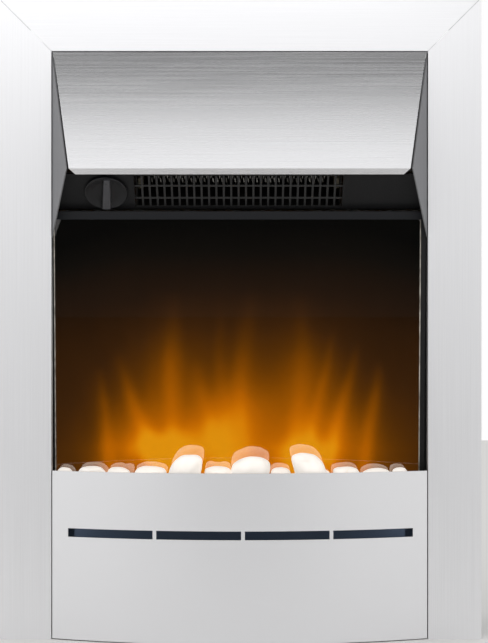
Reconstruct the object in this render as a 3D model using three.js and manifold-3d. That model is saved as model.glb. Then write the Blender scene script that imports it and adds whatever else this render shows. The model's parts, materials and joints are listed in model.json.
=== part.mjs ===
// Inset electric fire: a mitred steel trim, a canopy over a sloped control panel, a flame screen
// behind a bed of pebbles, and a bowed fret, all on the front of a sheet steel casing.
// Millimetres. X runs to the viewer's right, Y back into the wall, Z up.
// The origin is on the hearth, at the centre of the width, in the plane of the wall.
import * as THREE from "three";
import { mergeVertices } from "three/addons/utils/BufferGeometryUtils.js";
import Module from "manifold-3d";

const wasm = await Module();
wasm.setup();

// Trim
const trimWidth = 485;
const trimHeight = 643.5;
const trimFaceWidth = 53.5;
const trimDepth = 22; // from the wall to the trim's face
const trimSheet = 1.2;
const trimReturn = 12; // inner edge folded back
const railReturn = 10; // lower edge of the top rail folded back
const railLip = 10; // and then up
const mitreGap = 0.3;
const gussetReach = 76;
const gussetWidth = 30;
const gussetSheet = 1.5;
const clipHeight = 60;
const clipFoot = 470;
const clipReach = 15;
const clipSheet = 1.2;

// Canopy
const canopyTopGap = 1; // below the top rail
const canopyTopInset = 1; // behind the trim's face
const canopyReach = 41; // from its top edge forward to its lip
const canopyDrop = 121;
const canopySheet = 1;
const canopySideGap = 2; // from the trim's opening to the panel's top corner
const canopyTaper = 19.8; // narrowing of each side from the top to the lip
const lipFold = 7.5; // sheet folded back under the lip
const lipFoldTurn = 45; // degrees that it falls, going back
const lipMitre = 6; // narrowing of each end of that fold
const cheekSeam = 2.6; // between the panel's lip and a cheek's outer face
const cheekDrop = 185.6;

// Control panel
const consoleTilt = 49; // degrees from vertical, facing down and forward
const consoleHeight = 47.8;
const consoleSideGap = 6; // from the trim's opening to the panel's end
const consoleSheet = 1.5;
const consoleRise = 1.18; // of the panel's top edge over the edge of the lip's fold
const consoleSetback = 14.6; // from the canopy's lip to the panel's top edge
const consoleFlange = 12;
const outletWidth = 208;
const outletHeight = 43.5;
const outletShift = -1.1; // of the outlet and all behind it, from the middle
const consoleBracketHeight = 26;
const consoleBracketReach = 15;
const consoleBracketSetback = 3; // behind the panel's lower edge
const consoleBracketLap = 11;
const bracketSheet = 1.2;

// Knob and selector
const knobDiameter = 43.3;
const knobHeight = 4; // of its disc above the panel
const knobFromEnd = 49.7; // of the panel
const knobRise = 0.8; // above the middle of the panel
const knobChamfer = 0.6;
const ridgeHeadWidth = 7;
const ridgeFootWidth = 10;
const ridgeHeight = 2.5;
const ridgeInset = 1; // from the disc's edge
const knobSocket = 4; // depth of the hole for its shaft
const shaftDiameter = 6;
const selectorSide = 30;
const selectorDepth = 17;

// Outlet guard
const guardSheet = 1;
const guardMargin = 3; // beyond each end of the outlet
const guardLap = 1.3; // beyond its long sides
const guardPitch = 7.4;
const guardSideCell = 6; // least width left open at each end of a row
const guardRowPitch = 16.6;
const guardBar = 2;

// Heater
const ductLength = 55;
const ductSheet = 1.2;
const coilPitch = 4.4;
const coilTail = 6.5; // least straight length at each end
const coilRadius = 5.2; // to the middle of the wire
const coilWire = 1.2;
const coilSetback = 19.5; // behind the control panel's face
const cardDepth = 14;
const cardPost = 5;
const cardSheet = 1.6;
const cardPostRise = 7.5; // above the coil's axis
const fanRadius = 19;
const fanBlades = 16;
const fanBladeChord = 5.4;
const fanBladeSheet = 0.9;
const fanBladeRake = 25; // degrees
const fanSetback = 82; // behind the control panel's face
const fanClearance = 5;
const fanEndDisc = 2;
const fanMotorRadius = 21;
const fanMotorLength = 40;
const bushRadius = 9;
const bushLength = 8;
const bearingDepth = 8; // length of shaft held in a bearing
const cutoutRadius = 8;
const cutoutHeight = 6;
const cutoutInset = 41; // from the end of the duct

// Viewing screen
const screenTilt = 3.4; // degrees that its top leans forward
const screenSideInset = 4.25; // of its side edge, inside the trim's opening
const screenShift = -2.45; // of the screen from the middle
const screenFoot = 146; // height of its bottom edge
const screenSetback = 24.7; // of its bottom edge behind the trim's face
const screenTopGap = 2.4;
const glassThickness = 3;
const diffuserThickness = 1.5;
const diffuserGap = 0.5;
const channelSheet = 1.2;
const channelLip = 1; // overlap on the face of the glass
const channelReturn = 11.7;
const channelSideGap = 1.5; // least, from the trim's opening to a channel's outer face
const sillLip = 7.5;
const maskSetback = 14;
const maskSheet = 0.8;
const maskFoot = 20;
const maskHeight = 210;
const maskFlames = 7;
const headerHeight = 8;
const headerGap = 3.3; // under the control panel
const headerSheet = 1.2;
const headerForward = 19; // from the wall to the header's face
const headerDepth = 40;
const headerSideGap = 1.8;

// Fret and pebble bed
const fretSideGap = 1; // from the trim's opening to the fret
const fretHeight = 168;
const fretBow = 34;
const fretSheet = 1.2;
const fretReturn = 14;
const fretFoot = 1; // gap to the hearth
const fretArcSteps = 36;
const slotHeight = 8.6;
const slotBottom = 103.5;
const slotWeb = 3.7;
const slotMargin = 15.7; // from the fret's side to the first slot
const slotShift = 0.8; // of the row from the middle
const webShift = 2.5; // of the webs between slots from the middle of the row
const slotCount = 4;
const baffleInset = 22; // from the fret's side
const baffleDepth = 10.8;
const baffleFlange = 20;
const fretBracketFoot = 16;
const fretBracketHeight = 106;
const fretBracketLap = 10;
const fretBracketDepth = 28;
const trayDrop = 14.2; // from the fret's top edge to the tray's underside
const trayRim = 7;
const traySheet = 1.2;
const trayGap = 0.8;

// Casing
const casingLap = 9; // of the casing beyond the trim's opening, each side
const casingHeight = 552;
const casingDepth = 130;
const casingSheet = 1;
const casingFlange = 14;
const panFlange = 13;
const baseNose = 7; // of the base, forward of the wall
const closureGap = 2; // from the canopy's top down to the turned-up edge behind it

// Flame effect and mains connection
const spindleRadius = 13;
const spindleY = 62;
const spindleZ = 128;
const spindleRod = 5; // diameter
const foilPitch = 22.9;
const foilMargin = 10; // from a bearing to the first foil's stretch
const foilTurn = 50; // degrees from each foil to the next
const foilSheet = 0.8;
const foilWidth = 20;
const spindlePostLength = 26;
const spindleMotorRadius = 17;
const boardInset = 47; // from a casing side
const boardDepth = 24;
const boardSheet = 1.6;
const ledPitch = 30;
const ledRadius = 4;
const ledHeight = 4;
const glandY = 34;
const glandZ = 36;
const glandBore = 9;
const glandRadius = 8;
const glandCollar = 11;
const terminalPitch = 12.5;
const terminalRib = 2;
const terminalWays = 4;
const terminalDepth = 20;
const terminalHeight = 16;
const terminalFromSide = 35;
const terminalFromBack = 20;

const clearance = 0.3; // between pieces that seat on one another
const runningClearance = 0.4; // round a shaft

// Places worked out from the sizes above
const halfTrim = trimWidth / 2;
const halfOpening = halfTrim - trimFaceWidth;
const openingTop = trimHeight - trimFaceWidth;
const trimFace = -trimDepth;
const canopyTop = openingTop - canopyTopGap;
const canopyTopY = trimFace + canopyTopInset;
const lipY = canopyTopY - canopyReach;
const lipZ = canopyTop - canopyDrop;
const canopyTopHalf = halfOpening - canopySideGap;
const lipHalf = canopyTopHalf - canopyTaper;
const lipFoldAngle = THREE.MathUtils.degToRad(lipFoldTurn);
const lipFoldZ = lipZ - lipFold * Math.sin(lipFoldAngle);
const consoleAngle = THREE.MathUtils.degToRad(consoleTilt);
const consoleHalf = halfOpening - consoleSideGap;
const knobFoot = 2 * clearance; // from the panel to the knob
const knobX = knobFromEnd - consoleHalf;
const consoleY = lipY + consoleSetback + (consoleHeight / 2) * Math.sin(consoleAngle);
const consoleZ = lipFoldZ + consoleRise - (consoleHeight / 2) * Math.cos(consoleAngle);
const consoleFootZ = consoleZ - (consoleHeight / 2) * Math.cos(consoleAngle);
const consoleFootY = consoleY + (consoleHeight / 2) * Math.sin(consoleAngle);
const ductHalfWidth = outletWidth / 2 - guardMargin;
const ductHalfHeight = (outletHeight + guardMargin) / 2;
const guardBack = consoleSheet + clearance + guardSheet;
const ductFront = guardBack + clearance;
const screenAngle = THREE.MathUtils.degToRad(screenTilt);
const headerTop = consoleFootZ - headerGap;
const screenLength = (headerTop - headerSheet - clearance - screenFoot) / Math.cos(screenAngle);
const screenDepth = glassThickness + diffuserGap + diffuserThickness;
const halfScreen = halfOpening - screenSideInset;
const halfCasing = halfOpening + casingLap;
const halfInside = halfCasing - casingSheet;
const wallSeat = halfInside - clearance; // outer face of whatever is fixed to a casing side
const fretHalf = halfOpening - fretSideGap;
const fretRadius = (fretHalf ** 2 + fretBow ** 2) / (2 * fretBow);
const fretCentreY = trimFace - fretBow + fretRadius;
const fretTop = fretFoot + fretHeight;
const fretSeat = trimFace + fretReturn + clearance; // front face of the fret's brackets
const trayBottom = fretTop - trayDrop;

const brushedSteel = { color: 0xc9cacb, roughness: 0.34, metalness: 1 };
const blackPaint = { color: 0x17181a, roughness: 0.55, metalness: 0.1 };
const bluePaint = { color: 0x3c4454, roughness: 0.5, metalness: 0.2 };
const zincSteel = { color: 0xa9adb0, roughness: 0.45, metalness: 0.9 };
const blackPlastic = { color: 0x1c1c1e, roughness: 0.4, metalness: 0 };
const greyPlastic = { color: 0x6a6d70, roughness: 0.6, metalness: 0 };
const smokedGlass = { color: 0x1a120c, roughness: 0.05, metalness: 0 };
const flameFilm = { color: 0xd9790c, roughness: 0.6, metalness: 0 };
const resistanceWire = { color: 0xb9b6ae, roughness: 0.4, metalness: 0.9 };
const mica = { color: 0xcbbfa6, roughness: 0.8, metalness: 0 };
const whitePebble = { color: 0xf2efe8, roughness: 0.7, metalness: 0 };
const circuitBoard = { color: 0x24492f, roughness: 0.6, metalness: 0 };

const fire = new THREE.Group();

function addPiece(name, geometry, finish, parent = fire) {
  const mesh = new THREE.Mesh(geometry, new THREE.MeshStandardMaterial(finish));
  mesh.name = name;
  parent.add(mesh);
  return mesh;
}

function shapeOf(points) {
  return new THREE.Shape(points.map(([x, y]) => new THREE.Vector2(x, y)));
}

function mirrored(points, side) {
  return points.map(([x, y]) => [side * x, y]);
}

// The outline of a folded sheet. The points are the folds of one face,
// and the thickness lies to the left of the line that they make.
function foldedSheet(points, thickness) {
  const directions = points.slice(1).map(([x, y], i) =>
    new THREE.Vector2(x - points[i][0], y - points[i][1]).normalize());
  const otherFace = points.map(([x, y], i) => {
    const before = directions[Math.max(i - 1, 0)];
    const after = directions[Math.min(i, directions.length - 1)];
    const normal = new THREE.Vector2(-before.y - after.y, before.x + after.x).normalize();
    const stretch = thickness / (normal.y * before.x - normal.x * before.y);
    return [x + normal.x * stretch, y + normal.y * stretch];
  });
  return [...points, ...otherFace.reverse()];
}

function extrude(shape, depth) {
  return new THREE.ExtrudeGeometry(shape, { depth, bevelEnabled: false, curveSegments: 6 });
}

// Outlines pushed along an axis. An outline's two coordinates are the other two axes, in order.
function alongX(shape, from, to) {
  const basis = new THREE.Matrix4().makeBasis(
    new THREE.Vector3(0, 1, 0), new THREE.Vector3(0, 0, 1), new THREE.Vector3(1, 0, 0));
  return extrude(shape, to - from).applyMatrix4(basis).translate(from, 0, 0);
}

function alongY(shape, from, to) {
  const basis = new THREE.Matrix4().makeBasis(
    new THREE.Vector3(1, 0, 0), new THREE.Vector3(0, 0, 1), new THREE.Vector3(0, -1, 0));
  return extrude(shape, to - from).applyMatrix4(basis).translate(0, to, 0);
}

function alongZ(shape, from, to) {
  return extrude(shape, to - from).translate(0, 0, from);
}

function box(x0, x1, y0, y1, z0, z1) {
  return new THREE.BoxGeometry(x1 - x0, y1 - y0, z1 - z0)
    .translate((x0 + x1) / 2, (y0 + y1) / 2, (z0 + z1) / 2);
}

function rodAlongX(radius, from, to, sides = 16) {
  return new THREE.CylinderGeometry(radius, radius, to - from, sides)
    .rotateZ(Math.PI / 2).translate((from + to) / 2, 0, 0);
}

// A turned piece. Its profile is [radius, height], and its axis is Y until it is turned.
function turned(profile, sides = 24) {
  return new THREE.LatheGeometry(profile.map(([r, h]) => new THREE.Vector2(r, h)), sides);
}

function turnedAlongX(profile, from, direction, sides) {
  return turned(profile, sides).rotateZ(-direction * Math.PI / 2).translate(from, 0, 0);
}

// A round housing with a blind bore in the end at height 0.
function boredProfile(radius, length, bore, boreDepth) {
  return [[0, boreDepth], [bore, boreDepth], [bore, 0], [radius, 0], [radius, length], [0, length]];
}

function toSolid(geometry) {
  const bare = geometry.clone();
  bare.deleteAttribute("normal");
  bare.deleteAttribute("uv");
  const merged = mergeVertices(bare, 1e-4);
  return new wasm.Manifold(new wasm.Mesh({
    numProp: 3,
    vertProperties: merged.attributes.position.array,
    triVerts: new Uint32Array(merged.index.array),
  }));
}

function toGeometry(solid) {
  const mesh = solid.getMesh();
  const geometry = new THREE.BufferGeometry();
  geometry.setAttribute("position", new THREE.BufferAttribute(mesh.vertProperties, 3));
  geometry.setIndex(new THREE.BufferAttribute(mesh.triVerts, 1));
  geometry.computeVertexNormals();
  return geometry;
}

function joined(...geometries) {
  return toGeometry(geometries.map(toSolid).reduce((whole, part) => whole.add(part)));
}

function cut(geometry, ...cutters) {
  const whole = toSolid(geometry);
  return toGeometry(cutters.map(toSolid).reduce((left, cutter) => left.subtract(cutter), whole));
}

function common(geometry, other) {
  return toGeometry(toSolid(geometry).intersect(toSolid(other)));
}

function moveVertices(geometry, move) {
  const position = geometry.attributes.position;
  const point = new THREE.Vector3();
  for (let i = 0; i < position.count; i += 1) {
    move(point.fromBufferAttribute(position, i));
    position.setXYZ(i, point.x, point.y, point.z);
  }
  return geometry;
}

// ---- trim ----

function trimUpright(side) {
  const section = foldedSheet([
    [halfOpening, trimFace + trimReturn], [halfOpening, trimFace], [halfTrim, trimFace], [halfTrim, 0],
  ], trimSheet);
  return moveVertices(alongZ(shapeOf(mirrored(section, side)), 0, trimHeight), (point) => {
    if (point.z > 0) point.z = trimHeight - (halfTrim - Math.abs(point.x)) - mitreGap;
  });
}

function trimTopRail() {
  const returnY = trimFace + railReturn;
  const section = foldedSheet([
    [0, trimHeight], [trimFace, trimHeight], [trimFace, openingTop],
    [returnY, openingTop], [returnY, openingTop + railLip],
  ], trimSheet);
  return moveVertices(alongX(shapeOf(section), -halfTrim, halfTrim), (point) => {
    point.x = Math.sign(point.x) * (halfTrim - (trimHeight - point.z) - mitreGap);
  });
}

function cornerBracket(side) {
  const outer = halfTrim - 2 * trimSheet;
  const top = trimHeight - 2 * trimSheet;
  const back = trimFace + trimSheet;
  const outline = [
    [outer, top], [outer, top - gussetReach], [outer - gussetWidth, top - gussetReach],
    [outer - gussetWidth, top - gussetWidth], [outer - gussetReach, top - gussetWidth],
    [outer - gussetReach, top],
  ];
  return alongY(shapeOf(mirrored(outline, side)), back, back + gussetSheet);
}

// An angle that ties the trim's inner return to the casing's flange.
function trimClip(side) {
  const outline = foldedSheet([
    [halfOpening + trimSheet, -casingSheet - clipReach], [halfOpening + trimSheet, -casingSheet],
    [halfCasing + casingFlange, -casingSheet],
  ].reverse(), clipSheet);
  return alongZ(shapeOf(mirrored(outline, side)), clipFoot, clipFoot + clipHeight);
}

addPiece("frame_left_upright", trimUpright(-1), brushedSteel);
addPiece("frame_right_upright", trimUpright(1), brushedSteel);
addPiece("frame_top_rail", trimTopRail(), brushedSteel);
addPiece("corner_bracket_left", cornerBracket(-1), zincSteel);
addPiece("corner_bracket_right", cornerBracket(1), zincSteel);
addPiece("trim_clip_left", trimClip(-1), zincSteel);
addPiece("trim_clip_right", trimClip(1), zincSteel);

// ---- canopy ----

// The panel hooks over the rail's lip, slopes forward, and is folded back under its own lip.
function canopyPanel() {
  const hookY = trimFace + railReturn + clearance;
  const foldY = lipY + lipFold * Math.cos(lipFoldAngle);
  const section = foldedSheet([
    [hookY, openingTop + railLip], [hookY, canopyTop], [canopyTopY, canopyTop],
    [lipY, lipZ], [foldY, lipFoldZ],
  ], canopySheet);
  const rightEdge = [
    [canopyTopHalf, openingTop + railLip + 1], [canopyTopHalf, canopyTop],
    [lipHalf, lipZ], [lipHalf - lipMitre, lipFoldZ], [lipHalf - lipMitre, lipFoldZ - lipFold],
  ];
  const outline = [...rightEdge, ...mirrored(rightEdge, -1).reverse()];
  return common(
    alongX(shapeOf(section), -halfOpening, halfOpening),
    alongY(shapeOf(outline), lipY - 1, 0));
}

const cheekFront = lipHalf + cheekSeam;
const cheekSide = halfOpening - clearance;
const cheekSlope = (cheekSide - cheekFront) / canopyReach;

// Half of the width that is free between the cheeks at one depth.
function cheekInsideAt(y) {
  return cheekFront + (y - lipY) * cheekSlope - (canopySheet + clearance) * Math.hypot(1, cheekSlope);
}

// A cheek closes the side of the canopy and is folded back along the trim's inner return,
// but only above the screen, whose channels stand there below it.
function canopyCheek(side) {
  const backY = trimFace + trimReturn;
  const foldY = canopyTopY + canopySheet;
  const foldFoot = headerTop + clearance;
  const section = foldedSheet([
    [cheekFront, lipY], [cheekSide, canopyTopY], [cheekSide, backY],
  ], canopySheet);
  const profile = [
    [backY, canopyTop], [canopyTopY, canopyTop], [lipY, lipZ],
    [canopyTopY, canopyTop - cheekDrop], [foldY, canopyTop - cheekDrop],
    [foldY, foldFoot], [backY, foldFoot],
  ];
  return common(
    alongZ(shapeOf(mirrored(section, side)), canopyTop - cheekDrop, canopyTop),
    alongX(shapeOf(profile), -halfTrim, halfTrim));
}

addPiece("hood_panel", canopyPanel(), brushedSteel);
addPiece("hood_left_cheek", canopyCheek(-1), brushedSteel);
addPiece("hood_right_cheek", canopyCheek(1), brushedSteel);

// ---- control panel, knob and heater ----

// In this group X is still X, Y runs up the panel's slope and Z points out of its face.
const consoleGroup = new THREE.Group();
consoleGroup.position.set(0, consoleY, consoleZ);
consoleGroup.rotation.x = Math.PI / 2 + consoleAngle;
fire.add(consoleGroup);

const heaterGroup = new THREE.Group();
heaterGroup.position.x = outletShift;
consoleGroup.add(heaterGroup);

function controlPanel() {
  const foot = -consoleHeight / 2;
  const section = foldedSheet([
    [consoleHeight / 2, 0], [foot, 0],
    [foot - consoleFlange * Math.sin(consoleAngle), -consoleFlange * Math.cos(consoleAngle)],
  ], consoleSheet);
  const shaftHole = new THREE.CylinderGeometry(
    shaftDiameter / 2 + runningClearance, shaftDiameter / 2 + runningClearance, 4 * consoleSheet, 20)
    .rotateX(Math.PI / 2).translate(knobX, knobRise, 0);
  const topHalf = cheekInsideAt(lipY + consoleSetback);
  const rightEdge = [
    [topHalf, consoleHeight / 2], [consoleHalf, foot], [consoleHalf, foot - consoleFlange],
  ];
  const outline = [...rightEdge, ...mirrored(rightEdge, -1).reverse()];
  const blank = common(
    alongX(shapeOf(section), -consoleHalf, consoleHalf),
    alongZ(shapeOf(outline), -2 * consoleFlange, 1));
  const outlet = box(-outletWidth / 2, outletWidth / 2, -outletHeight / 2, outletHeight / 2,
    -2 * consoleSheet, consoleSheet).translate(outletShift, 0, 0);
  return cut(blank, outlet, shaftHole);
}

// A bracket from a casing side to the panel's lower flange. It is upright, so it is in the main frame.
function consoleBracket(side) {
  const foot = consoleFootZ + consoleSheet + clearance;
  const frontY = consoleFootY + consoleBracketSetback;
  const inner = consoleHalf - consoleBracketLap;
  const outline = foldedSheet([
    [inner, frontY], [inner, frontY + consoleBracketReach],
    [wallSeat, frontY + consoleBracketReach], [wallSeat, frontY + 3 * consoleBracketReach],
  ], bracketSheet);
  return alongZ(shapeOf(mirrored(outline, side)), foot, foot + consoleBracketHeight);
}

// Each hole is one cell between bars, and the rows count down from the outlet's top edge.
// The cells at the ends of a row take what width is left, and the lowest row what height is left.
function outletGuard() {
  const halfWidth = outletWidth / 2 + guardMargin;
  const halfHeight = outletHeight / 2 + guardLap;
  const guardRows = Math.ceil(outletHeight / guardRowPitch);
  const guardCells = Math.floor((outletWidth - 2 * guardSideCell) / guardPitch);
  const barsHalf = (guardCells * guardPitch) / 2;
  const cells = [];
  const addCell = (x0, x1, row) => {
    const y1 = outletHeight / 2 - row * guardRowPitch;
    const y0 = Math.max(y1 - guardRowPitch + guardBar, -outletHeight / 2);
    cells.push(box(x0, x1, y0, y1, -guardBack - 1, -guardBack + guardSheet + 1));
  };
  for (let row = 0; row < guardRows; row += 1) {
    addCell(-outletWidth / 2, -barsHalf - guardBar / 2, row);
    addCell(barsHalf + guardBar / 2, outletWidth / 2, row);
    for (let cell = 0; cell < guardCells; cell += 1) {
      const x0 = -barsHalf + cell * guardPitch + guardBar / 2;
      addCell(x0, x0 + guardPitch - guardBar, row);
    }
  }
  return cut(
    box(-halfWidth, halfWidth, -halfHeight, halfHeight, -guardBack, -guardBack + guardSheet), ...cells);
}

// A thin disc with a grip across it, which widens towards its foot and is socketed for the shaft.
function controlKnob() {
  const radius = knobDiameter / 2;
  const reach = radius - knobChamfer;
  const disc = turned([
    [0, knobFoot], [reach, knobFoot], [radius, knobFoot + knobChamfer],
    [radius, knobHeight - knobChamfer], [reach, knobHeight], [0, knobHeight],
  ], 48).rotateX(Math.PI / 2);
  const end = reach - ridgeInset;
  const ridge = alongZ(shapeOf([
    [-ridgeFootWidth / 2, -end], [ridgeFootWidth / 2, -end],
    [ridgeHeadWidth / 2, end], [-ridgeHeadWidth / 2, end],
  ]), knobHeight - knobChamfer, knobHeight + ridgeHeight);
  const socket = new THREE.CylinderGeometry(
    shaftDiameter / 2 + clearance, shaftDiameter / 2 + clearance, 2 * knobSocket, 20)
    .rotateX(Math.PI / 2).translate(0, 0, knobFoot);
  return cut(joined(disc, ridge), socket).translate(knobX, knobRise, 0);
}

function selectorShaft() {
  const back = consoleSheet + clearance + selectorDepth / 2;
  const front = knobFoot + knobSocket - clearance;
  return new THREE.CylinderGeometry(shaftDiameter / 2, shaftDiameter / 2, back + front, 20)
    .rotateX(Math.PI / 2).translate(knobX, knobRise, (front - back) / 2);
}

function selectorSwitch() {
  const front = -consoleSheet - clearance;
  const half = selectorSide / 2;
  const body = shapeOf([[-half, -half], [half, -half], [half, half], [-half, half]]);
  const bore = new THREE.CylinderGeometry(
    shaftDiameter / 2 + clearance, shaftDiameter / 2 + clearance, selectorDepth + 2, 20)
    .rotateX(Math.PI / 2).translate(0, 0, front);
  return cut(alongZ(body, front - selectorDepth, front), bore).translate(knobX, knobRise, 0);
}

// Bright wire wound as an open spring, with a short straight tail into the card at each end.
function heatingCoil() {
  const stepsPerCurl = 8;
  const sides = 5;
  const tailEnd = ductHalfWidth - clearance - cardPost - clearance;
  const coilCurls = Math.floor((2 * (tailEnd - coilTail)) / coilPitch);
  const halfLength = (coilCurls * coilPitch) / 2;
  const steps = coilCurls * stepsPerCurl;
  const points = [];
  const out = [];
  const addPoint = (x, turn) => {
    out.push(new THREE.Vector3(0, Math.cos(turn), Math.sin(turn)));
    points.push(new THREE.Vector3(x, coilRadius * Math.cos(turn), coilRadius * Math.sin(turn)));
  };
  addPoint(-tailEnd, 0);
  addPoint(-halfLength - coilWire, 0);
  for (let i = 0; i <= steps; i += 1) {
    addPoint(-halfLength + (i / steps) * 2 * halfLength, (i / stepsPerCurl) * 2 * Math.PI);
  }
  addPoint(halfLength + coilWire, 0);
  addPoint(tailEnd, 0);

  let leastGap = Infinity;
  for (let i = 0; i < points.length; i += 1) {
    for (let j = i + stepsPerCurl / 2; j < points.length; j += 1) {
      leastGap = Math.min(leastGap, points[i].distanceTo(points[j]) - coilWire);
    }
  }
  console.log(`heating coil: least gap to itself ${leastGap.toFixed(2)} mm`);

  const vertices = [];
  const faces = [];
  points.forEach((point, i) => {
    const before = points[Math.max(i - 1, 0)];
    const after = points[Math.min(i + 1, points.length - 1)];
    const along = new THREE.Vector3().subVectors(after, before).normalize();
    const across = new THREE.Vector3().crossVectors(along, out[i]).normalize();
    const outward = new THREE.Vector3().crossVectors(across, along);
    for (let side = 0; side < sides; side += 1) {
      const angle = (side / sides) * 2 * Math.PI;
      vertices.push(point.clone()
        .addScaledVector(outward, (coilWire / 2) * Math.cos(angle))
        .addScaledVector(across, (coilWire / 2) * Math.sin(angle)));
    }
  });
  for (let i = 0; i + 1 < points.length; i += 1) {
    for (let side = 0; side < sides; side += 1) {
      const a = i * sides + side;
      const b = i * sides + ((side + 1) % sides);
      faces.push(a, b, b + sides, a, b + sides, a + sides);
    }
  }
  const last = (points.length - 1) * sides;
  for (let side = 1; side + 1 < sides; side += 1) {
    faces.push(0, side + 1, side, last, last + side, last + side + 1);
  }
  const geometry = new THREE.BufferGeometry().setFromPoints(vertices);
  geometry.setIndex(faces);
  geometry.computeVertexNormals();
  return geometry.translate(0, 0, -coilSetback);
}

// The card that carries the coil: a back strip with a post at each end.
function elementCard() {
  const outer = ductHalfWidth - clearance;
  const inner = outer - cardPost;
  const back = -coilSetback - coilRadius - coilWire - 4;
  const top = -coilSetback + cardPostRise;
  const outline = [
    [-outer, back - cardSheet], [outer, back - cardSheet], [outer, top], [inner, top],
    [inner, back], [-inner, back], [-inner, top], [-outer, top],
  ];
  return alongY(shapeOf(outline), -cardDepth / 2, cardDepth / 2);
}

function heaterDuct() {
  const rectangle = (halfWidth, halfHeight) => shapeOf([
    [-halfWidth, -halfHeight], [halfWidth, -halfHeight], [halfWidth, halfHeight], [-halfWidth, halfHeight],
  ]);
  const wall = rectangle(ductHalfWidth + ductSheet, ductHalfHeight + ductSheet);
  wall.holes.push(rectangle(ductHalfWidth, ductHalfHeight));
  return alongZ(wall, -ductFront - ductLength, -ductFront);
}

// A scroll round the fan with an open intake below, closed at each end by a plate.
function fanHousing() {
  const inside = fanRadius + fanClearance;
  const outside = inside + ductSheet;
  const mouth = -ductFront - ductLength - clearance;
  const arc = (radius, sweep) => {
    const steps = 16;
    return Array.from({ length: steps + 1 }, (_, i) => {
      const angle = (i / steps) * sweep;
      return [radius * Math.cos(angle), -fanSetback - radius * Math.sin(angle)];
    });
  };
  const halfWidth = ductHalfWidth + ductSheet;
  const scroll = alongX(
    shapeOf(foldedSheet([[inside, mouth], ...arc(inside, Math.PI * 5 / 6)], ductSheet)),
    -halfWidth, halfWidth);
  const plate = shapeOf([[outside, mouth], ...arc(outside, Math.PI), [-outside, mouth]]);
  const shaftHole = rodAlongX(shaftDiameter / 2 + runningClearance, -halfWidth - 1, halfWidth + 1)
    .translate(0, 0, -fanSetback);
  return cut(joined(
    scroll, alongX(plate, -halfWidth, -ductHalfWidth), alongX(plate, ductHalfWidth, halfWidth)), shaftHole);
}

const fanShaftEnd = ductHalfWidth + ductSheet + clearance + bearingDepth;

function fanImpeller() {
  const half = ductHalfWidth - 4;
  const pieces = [
    rodAlongX(fanRadius, -half, -half + fanEndDisc, 24),
    rodAlongX(fanRadius, half - fanEndDisc, half, 24),
    rodAlongX(shaftDiameter / 2, -fanShaftEnd, -half + 1),
    rodAlongX(shaftDiameter / 2, half - 1, fanShaftEnd),
  ];
  for (let blade = 0; blade < fanBlades; blade += 1) {
    pieces.push(new THREE.BoxGeometry(2 * half - fanEndDisc, fanBladeChord, fanBladeSheet)
      .rotateX(THREE.MathUtils.degToRad(fanBladeRake))
      .translate(0, fanRadius - fanBladeChord / 2 - 0.6, 0)
      .rotateX((blade / fanBlades) * 2 * Math.PI));
  }
  return joined(...pieces).translate(0, 0, -fanSetback);
}

function fanMotor() {
  const profile = boredProfile(
    fanMotorRadius, fanMotorLength, shaftDiameter / 2 + runningClearance, bearingDepth + 2);
  return turnedAlongX(profile, ductHalfWidth + ductSheet + clearance, 1).translate(0, 0, -fanSetback);
}

function fanBush() {
  const bore = shaftDiameter / 2 + runningClearance;
  const profile = [[bore, 0], [bushRadius, 0], [bushRadius, bushLength], [bore, bushLength], [bore, 0]];
  return turnedAlongX(profile, -ductHalfWidth - ductSheet - clearance, -1).translate(0, 0, -fanSetback);
}

function thermalCutout() {
  return turned([
    [0, 0], [cutoutRadius, 0], [cutoutRadius, cutoutHeight - 2],
    [cutoutRadius - 2, cutoutHeight], [0, cutoutHeight],
  ], 20).translate(ductHalfWidth - cutoutInset, ductHalfHeight + ductSheet + clearance,
    -ductFront - ductLength / 2);
}

addPiece("control_panel", controlPanel(), blackPaint, consoleGroup);
addPiece("console_bracket_left", consoleBracket(-1), zincSteel);
addPiece("console_bracket_right", consoleBracket(1), zincSteel);
addPiece("outlet_guard", outletGuard(), blackPaint, heaterGroup);
addPiece("control_knob", controlKnob(), blackPlastic, consoleGroup);
addPiece("selector_shaft", selectorShaft(), zincSteel, consoleGroup);
addPiece("selector_switch", selectorSwitch(), greyPlastic, consoleGroup);
addPiece("heating_coil", heatingCoil(), resistanceWire, heaterGroup);
addPiece("element_card", elementCard(), mica, heaterGroup);
addPiece("heater_duct", heaterDuct(), zincSteel, heaterGroup);
addPiece("fan_housing", fanHousing(), zincSteel, heaterGroup);
addPiece("fan_impeller", fanImpeller(), blackPlastic, heaterGroup);
addPiece("fan_motor", fanMotor(), zincSteel, heaterGroup);
addPiece("fan_bush", fanBush(), greyPlastic, heaterGroup);
addPiece("thermal_cutout", thermalCutout(), mica, heaterGroup);

// ---- viewing screen ----

// In this group Y runs back through the glass and Z up along it, from the middle of its bottom edge.
const screenGroup = new THREE.Group();
screenGroup.position.set(screenShift, trimFace + screenSetback, screenFoot);
screenGroup.rotation.x = screenAngle;
fire.add(screenGroup);

function screenSheet(front, thickness) {
  return box(-halfScreen, halfScreen, front, front + thickness, 0, screenLength - screenTopGap);
}

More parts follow.
